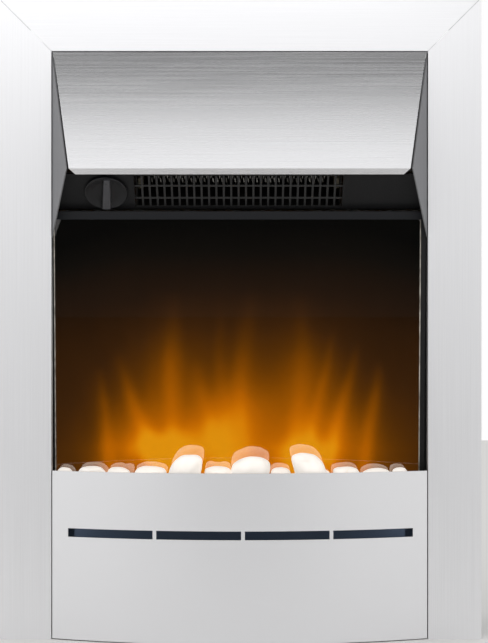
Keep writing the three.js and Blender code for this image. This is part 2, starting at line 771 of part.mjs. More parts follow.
// A channel holds the glass's side edge and is folded out and back along the casing side.
// The screen stands to one side of the middle, so the channel on its far side is the wider.
function screenChannel(side) {
  const sheet = channelSheet;
  const slot = halfScreen + clearance;
  const lip = slot - channelLip;
  const wall = Math.max(slot, halfOpening - channelSideGap - sheet - side * screenShift);
  const seat = wallSeat - side * screenShift;
  const front = -clearance;
  const back = screenDepth + clearance;
  const outline = [
    [lip, front - sheet], [wall + sheet, front - sheet], [wall + sheet, back], [seat, back],
    [seat, back + channelReturn], [seat - sheet, back + channelReturn],
    [seat - sheet, back + sheet], [lip, back + sheet], [lip, back], [wall, back],
    [wall, front], [lip, front],
  ];
  return alongZ(shapeOf(mirrored(outline, side)), -2 * sheet, screenLength - sheet);
}

function screenSill() {
  const front = -clearance - channelSheet;
  const back = screenDepth + clearance + channelSheet;
  const floor = -clearance - channelSheet;
  const half = halfScreen - channelLip;
  const section = foldedSheet([
    [front, floor + sillLip], [front, floor], [back, floor], [back, floor + sillLip],
  ], channelSheet);
  return alongX(shapeOf(section), -half, half);
}

// A thin plate with a row of flame-shaped holes, which shapes the light on the diffuser.
function flameMask() {
  const half = wallSeat - channelSheet - clearance;
  const plate = shapeOf([
    [-half, maskFoot], [half, maskFoot], [half, maskFoot + maskHeight], [-half, maskFoot + maskHeight],
  ]);
  const pitch = (2 * halfScreen) / (maskFlames + 1);
  for (let i = 0; i < maskFlames; i += 1) {
    const x = (i - (maskFlames - 1) / 2) * pitch;
    const foot = maskFoot + 12;
    const height = maskHeight * (0.62 + 0.2 * Math.cos(2.4 * i));
    const lean = 7 * Math.sin(1.7 * i);
    const flame = new THREE.Shape();
    flame.moveTo(x, foot);
    flame.quadraticCurveTo(x + pitch * 0.5, foot + height * 0.35, x + lean, foot + height);
    flame.quadraticCurveTo(x - pitch * 0.45, foot + height * 0.4, x, foot);
    plate.holes.push(flame);
  }
  return alongY(plate, maskSetback, maskSetback + maskSheet).translate(-screenShift, 0, 0);
}

// The bar across the top of the screen, folded back over the edges of the glass.
function screenHeader() {
  const half = halfOpening - headerSideGap;
  const section = foldedSheet([
    [headerDepth - headerForward, headerTop], [-headerForward, headerTop],
    [-headerForward, headerTop - headerHeight],
  ], headerSheet);
  return alongX(shapeOf(section), -half, half);
}

addPiece("viewing_glass", screenSheet(0, glassThickness), smokedGlass, screenGroup);
addPiece("flame_diffuser", screenSheet(glassThickness + diffuserGap, diffuserThickness),
  flameFilm, screenGroup);
addPiece("screen_channel_left", screenChannel(-1), blackPaint, screenGroup);
addPiece("screen_channel_right", screenChannel(1), blackPaint, screenGroup);
addPiece("screen_sill", screenSill(), blackPaint, screenGroup);
addPiece("flame_mask", flameMask(), zincSteel, screenGroup);
addPiece("screen_header", screenHeader(), blackPaint);

// ---- fret and pebble bed ----

// Points along the fret's bow, drawn in by inset, between two places across its width.
function bowPoints(inset, halfWidth) {
  const radius = fretRadius - inset;
  const reach = Math.asin(halfWidth / radius);
  return Array.from({ length: fretArcSteps + 1 }, (_, i) => {
    const angle = reach * ((2 * i) / fretArcSteps - 1);
    return [radius * Math.sin(angle), fretCentreY - radius * Math.cos(angle)];
  });
}

function fretPanel() {
  const back = trimFace + fretReturn;
  const section = foldedSheet([
    [-fretHalf, back], ...bowPoints(0, fretHalf), [fretHalf, back],
  ], fretSheet);
  const halfSpan = Math.asin((fretHalf - slotMargin) / fretRadius);
  const webs = Array.from({ length: slotCount - 1 }, (_, i) =>
    webShift / fretRadius + ((i + 1) * 2 / slotCount - 1) * halfSpan);
  const halfWeb = slotWeb / 2 / fretRadius;
  const starts = [-halfSpan, ...webs.map((web) => web + halfWeb)];
  const ends = [...webs.map((web) => web - halfWeb), halfSpan];
  const slots = starts.map((start, i) =>
    box(fretRadius * Math.sin(start), fretRadius * Math.sin(ends[i]),
      trimFace - fretBow - 5, trimFace + fretSheet, slotBottom, slotBottom + slotHeight)
      .translate(slotShift, 0, 0));
  return cut(alongZ(shapeOf(section), fretFoot, fretTop), ...slots);
}

function fretBracket(side) {
  const outline = foldedSheet([
    [fretHalf - fretBracketLap, fretSeat], [wallSeat, fretSeat], [wallSeat, fretSeat + fretBracketDepth],
  ], bracketSheet);
  return alongZ(shapeOf(mirrored(outline, side)), fretBracketFoot, fretBracketFoot + fretBracketHeight);
}

// The plate seen through the fret's slots. It guides the air and carries the front of the tray.
function airBaffle() {
  const half = fretHalf - baffleInset;
  const flangeY = fretSeat - clearance - bracketSheet;
  const outline = foldedSheet([
    [-half - baffleFlange, flangeY], [-half, flangeY], [-half, flangeY - baffleDepth],
    [half, flangeY - baffleDepth], [half, flangeY], [half + baffleFlange, flangeY],
  ], bracketSheet);
  return alongZ(shapeOf(outline), fretBracketFoot, trayBottom - clearance);
}

// The tray's back edge stands in front of the lips of the screen's channels.
const trayRear = trimFace + screenSetback - (trayBottom + trayRim - screenFoot) * Math.tan(screenAngle)
  - channelSheet - 2 * clearance;
const trayHalf = fretHalf - fretSheet - trayGap;

function trayOutline(inset) {
  const half = trayHalf - inset;
  const bow = bowPoints(fretSheet + trayGap + inset, half);
  return shapeOf([[-half, trayRear - inset], ...bow, [half, trayRear - inset]]);
}

function pebbleTray() {
  return cut(
    alongZ(trayOutline(0), trayBottom, trayBottom + trayRim),
    alongZ(trayOutline(traySheet), trayBottom + traySheet, trayBottom + trayRim + 1));
}

// Water-worn stones. A stone's middle is at a share of the tray's half width, and back is its
// distance in front of the tray's back wall. Turn is in degrees about the vertical.
const pebbles = [
  { at: -0.949, back: 8.4, width: 17, depth: 12, height: 15.2, turn: 0 },
  { at: -0.799, back: 11.8, width: 28.5, depth: 19, height: 16.6, turn: 8 },
  { at: -0.657, back: 11.6, width: 23.5, depth: 18, height: 15.8, turn: -6 },
  { at: -0.484, back: 12, width: 32.5, depth: 20, height: 16.8, turn: 5 },
  { at: -0.29, back: 33.8, width: 34, depth: 25, height: 29.7, turn: 6 },
  { at: -0.119, back: 11.8, width: 27, depth: 19, height: 16.5, turn: -10 },
  { at: 0.0575, back: 34.8, width: 39.5, depth: 25, height: 28.2, turn: -3 },
  { at: 0.222, back: 11.6, width: 20.5, depth: 19, height: 15.5, turn: 12 },
  { at: 0.373, back: 33.2, width: 36, depth: 24, height: 31.4, turn: -7 },
  { at: 0.579, back: 12, width: 27, depth: 19, height: 16.2, turn: 4 },
  { at: 0.7405, back: 11.8, width: 28.5, depth: 19, height: 14.8, turn: -5 },
  { at: 0.869, back: 10.4, width: 16, depth: 15, height: 15.2, turn: 0 },
];

// A stone is an ellipsoid with its broad side down and two slow swellings, no two alike.
function pebble({ at, back, width, depth, height, turn }, index) {
  const stone = moveVertices(new THREE.SphereGeometry(1, 16, 10).rotateX(Math.PI / 2), (point) => {
    const swell = 0.05 * Math.sin(2 * point.x + 1.9 * index) * Math.cos(1.6 * point.y - index);
    point.multiplyScalar(0.95 + swell);
    point.x += 0.04 * point.z * Math.sin(2.3 * index);
  });
  stone.center().computeBoundingBox();
  const size = stone.boundingBox.getSize(new THREE.Vector3());
  stone.scale(width / size.x, depth / size.y, height / size.z).rotateZ(THREE.MathUtils.degToRad(turn));
  const middle = trayBottom + traySheet + clearance + height / 2;
  return stone.translate(at * trayHalf, trayRear - traySheet - back, middle);
}

addPiece("fret_panel", fretPanel(), brushedSteel);
addPiece("fret_bracket_left", fretBracket(-1), zincSteel);
addPiece("fret_bracket_right", fretBracket(1), zincSteel);
addPiece("air_baffle", airBaffle(), bluePaint);
addPiece("pebble_tray", pebbleTray(), blackPaint);
pebbles.forEach((stone, i) => {
  addPiece(`pebble_${String(i + 1).padStart(2, "0")}`, pebble(stone, i), whitePebble);
});

// ---- casing ----

function casingSide(side) {
  const outline = foldedSheet([
    [halfInside, casingDepth - casingSheet], [halfInside, -casingSheet],
    [halfCasing + casingFlange, -casingSheet],
  ], casingSheet);
  const wall = alongZ(shapeOf(mirrored(outline, side)), 0, casingHeight);
  if (side < 0) return wall;
  return cut(wall, rodAlongX(glandRadius + clearance, halfInside - 5, halfCasing + 5, 24)
    .translate(0, glandY, glandZ));
}

// A shallow pan with its sides folded up, used the other way up for the top.
function casingPan(level, up, front) {
  const section = foldedSheet([
    [-up * wallSeat, level + up * panFlange], [-up * wallSeat, level],
    [up * wallSeat, level], [up * wallSeat, level + up * panFlange],
  ], casingSheet);
  return alongY(shapeOf(section), front, casingDepth - casingSheet - clearance);
}

// The top's front edge is turned up behind the canopy, so that the hearth opening is closed off.
function casingTop() {
  return joined(
    casingPan(casingHeight, -1, 0),
    box(-wallSeat, wallSeat, 0, casingSheet, casingHeight - casingSheet, canopyTop - closureGap));
}

addPiece("casing_left_side", casingSide(-1), zincSteel);
addPiece("casing_right_side", casingSide(1), zincSteel);
addPiece("casing_base", casingPan(0, 1, -baseNose), zincSteel);
addPiece("casing_top", casingTop(), zincSteel);
addPiece("casing_back",
  box(-halfCasing, halfCasing, casingDepth - casingSheet, casingDepth, 0, casingHeight), zincSteel);

// ---- flame effect and mains connection ----

const spindleEnd = wallSeat - spindlePostLength + bearingDepth;

// A rod with thin bright foils set at changing angles, which breaks the light into moving flames.
function flameSpindle() {
  const foils = Math.floor((2 * (wallSeat - spindlePostLength - foilMargin)) / foilPitch);
  const pieces = [rodAlongX(spindleRod / 2, -spindleEnd, spindleEnd)];
  for (let i = 0; i < foils; i += 1) {
    pieces.push(new THREE.BoxGeometry(foilWidth, 2 * spindleRadius, foilSheet)
      .rotateX(i * THREE.MathUtils.degToRad(foilTurn))
      .translate((i - (foils - 1) / 2) * foilPitch, 0, 0));
  }
  return joined(...pieces).translate(0, spindleY, spindleZ);
}

function spindlePost(direction, radius) {
  const profile = boredProfile(
    radius, spindlePostLength, spindleRod / 2 + runningClearance, bearingDepth + 2);
  return turnedAlongX(profile, direction * (wallSeat - spindlePostLength), direction)
    .translate(0, spindleY, spindleZ);
}

function ledBoard() {
  const floor = casingSheet + clearance;
  const half = halfInside - boardInset;
  const leds = Math.floor((2 * half) / ledPitch);
  const pieces = [box(-half, half,
    spindleY - boardDepth / 2, spindleY + boardDepth / 2, floor, floor + boardSheet)];
  for (let i = 0; i < leds; i += 1) {
    pieces.push(new THREE.CylinderGeometry(ledRadius - 1, ledRadius, ledHeight, 12).rotateX(Math.PI / 2)
      .translate((i - (leds - 1) / 2) * ledPitch, spindleY, floor + boardSheet + ledHeight / 2 - 0.5));
  }
  return joined(...pieces);
}

// A bored bush with a collar inside the casing side.
function cableGland() {
  const bore = glandBore / 2;
  const profile = [
    [bore, 0], [glandCollar, 0], [glandCollar, 3], [glandRadius, 3],
    [glandRadius, 9], [bore, 9], [bore, 0],
  ];
  return turnedAlongX(profile, halfInside - clearance - 3, 1).translate(0, glandY, glandZ);
}

// A strip of screw terminals, with a rib on each side of every way.
function terminalBlock() {
  const width = terminalWays * terminalPitch + terminalRib;
  const outline = [[0, 0]];
  for (let i = 0; i <= terminalWays; i += 1) {
    const left = i * terminalPitch;
    outline.push([left, terminalHeight], [left + terminalRib, terminalHeight]);
    if (i < terminalWays) {
      outline.push([left + terminalRib, terminalHeight * 0.7], [left + terminalPitch, terminalHeight * 0.7]);
    }
  }
  outline.push([width, 0]);
  return alongY(shapeOf(outline), 0, terminalDepth).translate(
    halfInside - terminalFromSide - width,
    casingDepth - terminalFromBack - terminalDepth,
    casingSheet + clearance);
}

addPiece("flame_spindle", flameSpindle(), zincSteel);
addPiece("spindle_bush", spindlePost(-1, bushRadius), blackPlastic);
addPiece("spindle_motor", spindlePost(1, spindleMotorRadius), zincSteel);
addPiece("led_board", ledBoard(), circuitBoard);
addPiece("cable_gland", cableGland(), blackPlastic);
addPiece("terminal_block", terminalBlock(), greyPlastic);

export default fire;
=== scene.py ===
# Looks for the inset electric fire: brushed steel trim, canopy and fret, a black heater panel,
# a half-mirrored screen with lit flames behind it, and a bed of white pebbles. Metres, Z up.
import json
import math

import bmesh
import bpy
from mathutils import Matrix, Vector, noise


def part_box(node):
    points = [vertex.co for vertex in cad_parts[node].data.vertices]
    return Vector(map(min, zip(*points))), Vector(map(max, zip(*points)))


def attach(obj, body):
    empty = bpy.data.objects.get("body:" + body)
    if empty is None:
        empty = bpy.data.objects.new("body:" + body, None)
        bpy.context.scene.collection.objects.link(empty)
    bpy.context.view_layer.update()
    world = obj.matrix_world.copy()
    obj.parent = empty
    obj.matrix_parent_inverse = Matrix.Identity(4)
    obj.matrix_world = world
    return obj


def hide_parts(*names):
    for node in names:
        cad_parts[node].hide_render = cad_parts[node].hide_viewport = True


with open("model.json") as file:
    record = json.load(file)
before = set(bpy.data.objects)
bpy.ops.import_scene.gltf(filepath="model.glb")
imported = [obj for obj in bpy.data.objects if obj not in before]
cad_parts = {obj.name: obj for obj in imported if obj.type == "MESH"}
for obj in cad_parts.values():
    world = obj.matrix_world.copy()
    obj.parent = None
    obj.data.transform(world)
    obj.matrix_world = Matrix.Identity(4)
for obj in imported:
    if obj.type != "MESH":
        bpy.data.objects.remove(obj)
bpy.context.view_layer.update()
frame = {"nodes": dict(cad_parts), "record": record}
nodes = frame["nodes"]
joints = {joint["name"]: joint for joint in frame["record"]["behaviour"]["joints"]}
print("frame loaded:", len(nodes), "nodes")


def hexColour(code):
    channels = [int(code[i:i + 2], 16) / 255 for i in (1, 3, 5)]
    linear = [c / 12.92 if c <= 0.04045 else ((c + 0.055) / 1.055) ** 2.4 for c in channels]
    return (*linear, 1.0)


def addNode(tree, kind, settings=None, values=None, links=None):
    node = tree.nodes.new(kind)
    for name, value in (settings or {}).items():
        setattr(node, name, value)
    for socket, value in (values or {}).items():
        node.inputs[socket].default_value = value
    for socket, source in (links or {}).items():
        tree.links.new(source, node.inputs[socket])
    return node


def newMaterial(name, shaderValues):
    material = bpy.data.materials.new(name)
    material.use_nodes = True
    tree = material.node_tree
    shader = tree.nodes["Principled BSDF"]
    for socket, value in shaderValues.items():
        shader.inputs[socket].default_value = value
    return material, tree, shader


def setRamp(ramp, stops):
    elements = ramp.color_ramp.elements
    while len(elements) > 1:
        elements.remove(elements[-1])
    for i, (place, colour) in enumerate(stops):
        element = elements[0] if i == 0 else elements.new(place)
        element.position = place
        element.color = hexColour(colour) if isinstance(colour, str) else (*[colour] * 3, 1.0)


def dress(names, material):
    for name in names:
        data = nodes[name].data
        data.materials.clear()
        data.materials.append(material)


def addPiece(name, mesh, body, material, replaced=()):
    data = bpy.data.meshes.new(name)
    mesh.to_mesh(data)
    mesh.free()
    data.materials.append(material)
    piece = bpy.data.objects.new(name, data)
    bpy.context.scene.collection.objects.link(piece)
    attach(piece, body)
    if replaced:
        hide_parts(*replaced)
    return piece


# The viewer stands in front of the middle, level with the screen, 1.6 m from the trim.
cameraValues = {"place": (0.0043, -1.622, 0.305), "lens": 117.68, "sensorWidth": 36,
                "shiftY": 0.0278}


def addCamera(values):
    data = bpy.data.cameras.new("camera")
    data.sensor_fit = "HORIZONTAL"
    data.sensor_width = values["sensorWidth"]
    data.lens = values["lens"]
    data.shift_y = values["shiftY"]
    camera = bpy.data.objects.new("camera", data)
    camera.location = values["place"]
    camera.rotation_euler = (math.radians(90), 0, 0)
    bpy.context.scene.collection.objects.link(camera)
    bpy.context.scene.camera = camera


addCamera(cameraValues)
bpy.context.scene.view_settings.view_transform = "Standard"
print("camera placed")

# The room is pale and brightest just above eye level, under a dim ceiling. Where the viewer
# stands it is dark, and so is the cloth on the floor there, which the screen mirrors.
studioValues = {"softLight": 0.78,
                "heights": [(0.3, 0.95), (0.45, 1.25), (0.5, 1.42), (0.57, 1.52), (0.66, 1.0),
                            (0.76, 0.3), (0.85, 0.12)],
                "patchLevel": 0.008, "patchAim": (0.0, -0.9969, -0.0785),
                "patchInside": 0.9893, "patchOutside": 0.9829,
                "floorColour": "#efeeec", "floorSize": 6.0, "clothColour": "#080808",
                "clothHalf": 0.19, "clothFlare": 0.125, "clothEdge": 0.08,
                "clothNear": -0.52, "clothFar": -0.66}


def mirroredRays(tree, paths):
    # 1 for rays sent out by metal and glass, which see the dark patch and the cloth.
    return addNode(tree, "ShaderNodeMath", {"operation": "MAXIMUM"}, links={
        0: paths.outputs["Is Glossy Ray"], 1: paths.outputs["Is Transmission Ray"]})


def addWorld(values):
    world = bpy.data.worlds.new("studio")
    bpy.context.scene.world = world
    world.use_nodes = True
    tree = world.node_tree
    paths = addNode(tree, "ShaderNodeLightPath")
    place = addNode(tree, "ShaderNodeTexCoord")
    height = addNode(tree, "ShaderNodeSeparateXYZ", links={0: place.outputs["Generated"]})
    share = addNode(tree, "ShaderNodeMapRange", values={"From Min": -1.0, "From Max": 1.0},
                    links={"Value": height.outputs["Z"]})
    room = addNode(tree, "ShaderNodeValToRGB", links={"Fac": share.outputs["Result"]})
    setRamp(room, values["heights"])
    aim = addNode(tree, "ShaderNodeVectorMath", {"operation": "DOT_PRODUCT"},
                  {1: values["patchAim"]}, {0: place.outputs["Generated"]})
    patch = addNode(tree, "ShaderNodeMapRange", {"interpolation_type": "SMOOTHSTEP"},
                    {"From Min": values["patchOutside"], "From Max": values["patchInside"],
                     "To Min": 0.0, "To Max": 1.0}, {"Value": aim.outputs["Value"]})
    room = addNode(tree, "ShaderNodeMix", {"data_type": "FLOAT"}, {3: values["patchLevel"]},
                   {0: patch.outputs["Result"], 2: room.outputs["Color"]})
    lit = addNode(tree, "ShaderNodeMix", {"data_type": "FLOAT"}, {2: values["softLight"]},
                  {0: mirroredRays(tree, paths).outputs[0], 3: room.outputs[0]})
    level = addNode(tree, "ShaderNodeMix", {"data_type": "FLOAT"}, {3: 1.0},
                    {0: paths.outputs["Is Camera Ray"], 2: lit.outputs[0]})
    tree.links.new(level.outputs[0], tree.nodes["Background"].inputs["Color"])


def addFloor(values):
    mesh = bmesh.new()
    bmesh.ops.create_grid(mesh, x_segments=1, y_segments=1, size=values["floorSize"] / 2)
    data = bpy.data.meshes.new("floor")
    mesh.to_mesh(data)
    mesh.free()
    floor = bpy.data.objects.new("floor", data)
    bpy.context.scene.collection.objects.link(floor)
    # Matt paint on plaster: even and without any shine.
    material, tree, shader = newMaterial("painted plaster", {
        "Roughness": 0.9, "Specular IOR Level": 0.0})
    paths = addNode(tree, "ShaderNodeLightPath")
    place = addNode(tree, "ShaderNodeTexCoord")
    spot = addNode(tree, "ShaderNodeSeparateXYZ", links={0: place.outputs["Object"]})
    off = addNode(tree, "ShaderNodeMath", {"operation": "ABSOLUTE"}, links={0: spot.outputs["X"]})
    flare = addNode(tree, "ShaderNodeMath", {"operation": "MULTIPLY_ADD"},
                    {1: values["clothFlare"]}, {0: spot.outputs["Y"], 2: off.outputs[0]})
    beside = addNode(tree, "ShaderNodeMapRange", {"interpolation_type": "SMOOTHSTEP"}, {
        "From Min": values["clothHalf"] + values["clothEdge"], "From Max": values["clothHalf"]},
        {"Value": flare.outputs[0]})
    before = addNode(tree, "ShaderNodeMapRange", {"interpolation_type": "SMOOTHSTEP"}, {
        "From Min": values["clothNear"], "From Max": values["clothFar"]},
        {"Value": spot.outputs["Y"]})
    cloth = addNode(tree, "ShaderNodeMath", {"operation": "MULTIPLY"},
                    links={0: beside.outputs["Result"], 1: before.outputs["Result"]})
    mirrored = addNode(tree, "ShaderNodeMath", {"operation": "MULTIPLY"},
                       links={0: cloth.outputs[0], 1: mirroredRays(tree, paths).outputs[0]})
    shade = addNode(tree, "ShaderNodeMix", {"data_type": "RGBA"}, {
        6: hexColour(values["floorColour"]), 7: hexColour(values["clothColour"])},
        {0: mirrored.outputs[0]})
    tree.links.new(shade.outputs[2], shader.inputs["Base Color"])
    data.materials.append(material)


# The softbox hangs above and to the left of the viewer's line of sight. Its upper edge is mirrored
# half way down the canopy, which turns dark at the top.
softboxValues = {"place": (-0.38, -0.575, 0.86), "aim": (-0.38, 0.025, 0.37), "size": (1.5, 0.30),
                 "watts": 1.4}


def addLamp(name, values):
    data = bpy.data.lights.new(name, "AREA")
    data.shape = "RECTANGLE"
    data.size, data.size_y = values["size"]
    data.energy = values["watts"]
    lamp = bpy.data.objects.new(name, data)
    lamp.location = values["place"]
    beam = Vector(values["aim"]) - Vector(values["place"])
    lamp.rotation_euler = beam.to_track_quat("-Z", "Y").to_euler()
    lamp.visible_camera = False
    bpy.context.scene.collection.objects.link(lamp)


addWorld(studioValues)
addFloor(studioValues)
addLamp("front softbox", softboxValues)
print("studio lit")

# Stainless sheet: a grey that is nearly neutral, and a satin shine from linishing.
steelValues = {"colour": "#e8e8ea", "metallic": 0.85, "roughness": 0.42, "roughnessDrift": 0.05,
               "grainWidth": 0.0011, "grainLength": 0.16, "tint": 0.035, "bump": 0.00002,
               "primer": "#1b1a19", "sheet": 0.0007}


def brushedSteel(name, grainAlong, changes=None):
    # Linished along one way: long fine scratches break the shine into faint streaks.
    # The scratches are drawn about ten times as wide as real ones, so that they show.
    values = {**steelValues, **(changes or {})}
    material, tree, shader = newMaterial(name, {
        "Metallic": values["metallic"], "Roughness": values["roughness"]})
    place = addNode(tree, "ShaderNodeTexCoord")
    across, along = 1 / values["grainWidth"], 1 / values["grainLength"]
    stretch = {"z": (across, across, along), "x": (along, across, across)}[grainAlong]
    mapping = addNode(tree, "ShaderNodeMapping", values={"Scale": stretch},
                      links={"Vector": place.outputs["Object"]})
    grain = addNode(tree, "ShaderNodeTexNoise",
                    values={"Scale": 1.0, "Detail": 3.0, "Roughness": 0.65},
                    links={"Vector": mapping.outputs["Vector"]})
    tint = addNode(tree, "ShaderNodeMapRange", values={
        "From Min": 0.3, "From Max": 0.7,
        "To Min": 1 - values["tint"], "To Max": 1 + values["tint"]},
        links={"Value": grain.outputs["Fac"]})
    shade = addNode(tree, "ShaderNodeMix", {"data_type": "RGBA", "blend_type": "MULTIPLY"},
                    {0: 1.0, 6: hexColour(values["colour"])}, {7: tint.outputs["Result"]})
    tree.links.new(shade.outputs[2], shader.inputs["Base Color"])
    rough = addNode(tree, "ShaderNodeMapRange", values={
        "From Min": 0.3, "From Max": 0.7, "To Min": values["roughness"] - values["roughnessDrift"],
        "To Max": values["roughness"] + values["roughnessDrift"]},
        links={"Value": grain.outputs["Fac"]})
    tree.links.new(rough.outputs["Result"], shader.inputs["Roughness"])
    ridges = addNode(tree, "ShaderNodeBump", values={"Strength": 0.25, "Distance": values["bump"]},
                     links={"Height": grain.outputs["Fac"]})
    tree.links.new(ridges.outputs["Normal"], shader.inputs["Normal"])
    return material


def fretRadius():
    # The fret bows out from the trim's face along one arc.
    fret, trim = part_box("fret_panel"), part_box("frame_top_rail")
    half, bow = fret[1][0], trim[0][1] - fret[0][1]
    return (half ** 2 + bow ** 2) / (2 * bow)


def primeBack(material):
    # Only the front of the bowed sheet is satin steel. Its back is dark with primer.
    front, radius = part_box("fret_panel")[0][1], fretRadius()
    tree, shader = material.node_tree, material.node_tree.nodes["Principled BSDF"]
    place = addNode(tree, "ShaderNodeTexCoord")
    centred = addNode(tree, "ShaderNodeMapping", {"vector_type": "POINT"},
                      {"Location": (0, -front - radius, 0), "Scale": (1, 1, 0)},
                      {"Vector": place.outputs["Object"]})
    reach = addNode(tree, "ShaderNodeVectorMath", {"operation": "LENGTH"},
                    links={0: centred.outputs["Vector"]})
    inside = addNode(tree, "ShaderNodeMath", {"operation": "LESS_THAN"},
                     {1: radius - steelValues["sheet"]}, {0: reach.outputs["Value"]})
    colour = shader.inputs["Base Color"].links[0].from_socket
    shade = addNode(tree, "ShaderNodeMix", {"data_type": "RGBA"},
                    {7: hexColour(steelValues["primer"])}, {0: inside.outputs[0], 6: colour})
    tree.links.new(shade.outputs[2], shader.inputs["Base Color"])


def powderCoat(name, colour, roughness, speckle=0.25):
    # Baked epoxy powder: an even dark coat whose fine orange peel softens every highlight.
    material, tree, shader = newMaterial(name, {"Roughness": roughness, "Specular IOR Level": 0.2})
    place = addNode(tree, "ShaderNodeTexCoord")
    peel = addNode(tree, "ShaderNodeTexNoise", values={"Scale": 900.0, "Detail": 2.0},
                   links={"Vector": place.outputs["Object"]})  # grains of about 1 mm
    tint = addNode(tree, "ShaderNodeMapRange", values={
        "From Min": 0.3, "From Max": 0.7, "To Min": 1 - speckle, "To Max": 1 + speckle},
        links={"Value": peel.outputs["Fac"]})
    shade = addNode(tree, "ShaderNodeMix", {"data_type": "RGBA", "blend_type": "MULTIPLY"},
                    {0: 1.0, 6: hexColour(colour)}, {7: tint.outputs["Result"]})
    tree.links.new(shade.outputs[2], shader.inputs["Base Color"])
    dents = addNode(tree, "ShaderNodeBump", values={"Strength": 0.2, "Distance": 0.0001},
                    links={"Height": peel.outputs["Fac"]})
    tree.links.new(dents.outputs["Normal"], shader.inputs["Normal"])
    return material


def galvanisedSheet():
    # Hot-dip zinc: flat crystals a centimetre across, each with its own grey and shine.
    material, tree, shader = newMaterial("galvanised sheet", {"Metallic": 0.85})
    place = addNode(tree, "ShaderNodeTexCoord")
    crystals = addNode(tree, "ShaderNodeTexVoronoi", values={"Scale": 110.0, "Randomness": 1.0},
                       links={"Vector": place.outputs["Object"]})
    grey = addNode(tree, "ShaderNodeSeparateColor", links={0: crystals.outputs["Color"]})
    ramp = addNode(tree, "ShaderNodeValToRGB", links={"Fac": grey.outputs["Red"]})
    setRamp(ramp, [(0.0, "#96999c"), (0.5, "#a6a9ab"), (1.0, "#b9bcbd")])
    tree.links.new(ramp.outputs["Color"], shader.inputs["Base Color"])
    rough = addNode(tree, "ShaderNodeMapRange", values={"To Min": 0.36, "To Max": 0.56},
                    links={"Value": grey.outputs["Green"]})
    tree.links.new(rough.outputs["Result"], shader.inputs["Roughness"])
    return material


def mouldedPlastic(name, colour, roughness):
    # Injection moulded: a spark-eroded matt face with a slow drift in its shine.
    material, tree, shader = newMaterial(name, {
        "Base Color": hexColour(colour), "Specular IOR Level": 0.3})
    place = addNode(tree, "ShaderNodeTexCoord")
    drift = addNode(tree, "ShaderNodeTexNoise", values={"Scale": 60.0, "Detail": 3.0},
                    links={"Vector": place.outputs["Object"]})
    rough = addNode(tree, "ShaderNodeMapRange", values={
        "From Min": 0.3, "From Max": 0.7, "To Min": roughness - 0.07, "To Max": roughness + 0.07},
        links={"Value": drift.outputs["Fac"]})
    tree.links.new(rough.outputs["Result"], shader.inputs["Roughness"])
    grain = addNode(tree, "ShaderNodeTexNoise", values={"Scale": 2500.0},
                    links={"Vector": place.outputs["Object"]})  # 0.4 mm; the real grain is 0.1 mm
    dents = addNode(tree, "ShaderNodeBump", values={"Strength": 0.15, "Distance": 0.00005},
                    links={"Height": grain.outputs["Fac"]})
    tree.links.new(dents.outputs["Normal"], shader.inputs["Normal"])
    return material


def halfMirrorGlass():
    # Smoked float glass with a half-mirror coat, so a higher index than plain glass.
    material, tree, shader = newMaterial("half-mirrored smoked glass", {
        "Base Color": hexColour("#cfc6bd"), "Transmission Weight": 1.0, "IOR": 2.7})
    place = addNode(tree, "ShaderNodeTexCoord")
    haze = addNode(tree, "ShaderNodeTexNoise", values={"Scale": 14.0, "Detail": 4.0},
                   links={"Vector": place.outputs["Object"]})
    rough = addNode(tree, "ShaderNodeMapRange", values={"To Min": 0.0, "To Max": 0.03},
                    links={"Value": haze.outputs["Fac"]})
    tree.links.new(rough.outputs["Result"], shader.inputs["Roughness"])
    return material


def resistanceWire():
    # Drawn nickel-chrome: bright, with a straw and grey heat tint along its length.
    material, tree, shader = newMaterial("nickel-chrome wire", {
        "Metallic": 1.0, "Roughness": 0.3})
    place = addNode(tree, "ShaderNodeTexCoord")
    heat = addNode(tree, "ShaderNodeTexNoise", values={"Scale": 45.0, "Detail": 2.0},
                   links={"Vector": place.outputs["Object"]})
    ramp = addNode(tree, "ShaderNodeValToRGB", links={"Fac": heat.outputs["Fac"]})
    setRamp(ramp, [(0.35, "#5d5a55"), (0.5, "#8f8c87"), (0.65, "#b5b2ac")])
    tree.links.new(ramp.outputs["Color"], shader.inputs["Base Color"])
    return material


def micaBoard():
    # Pressed mica: brittle silvery flakes a few millimetres across under a dull binder.
    material, tree, shader = newMaterial("mica board", {"Roughness": 0.6})
    place = addNode(tree, "ShaderNodeTexCoord")
    flakes = addNode(tree, "ShaderNodeTexVoronoi", values={"Scale": 350.0},
                     links={"Vector": place.outputs["Object"]})
    grey = addNode(tree, "ShaderNodeSeparateColor", links={0: flakes.outputs["Color"]})
    ramp = addNode(tree, "ShaderNodeValToRGB", links={"Fac": grey.outputs["Red"]})
    setRamp(ramp, [(0.0, "#3e3a31"), (0.6, "#57513f"), (1.0, "#7a7360")])
    tree.links.new(ramp.outputs["Color"], shader.inputs["Base Color"])
    return material


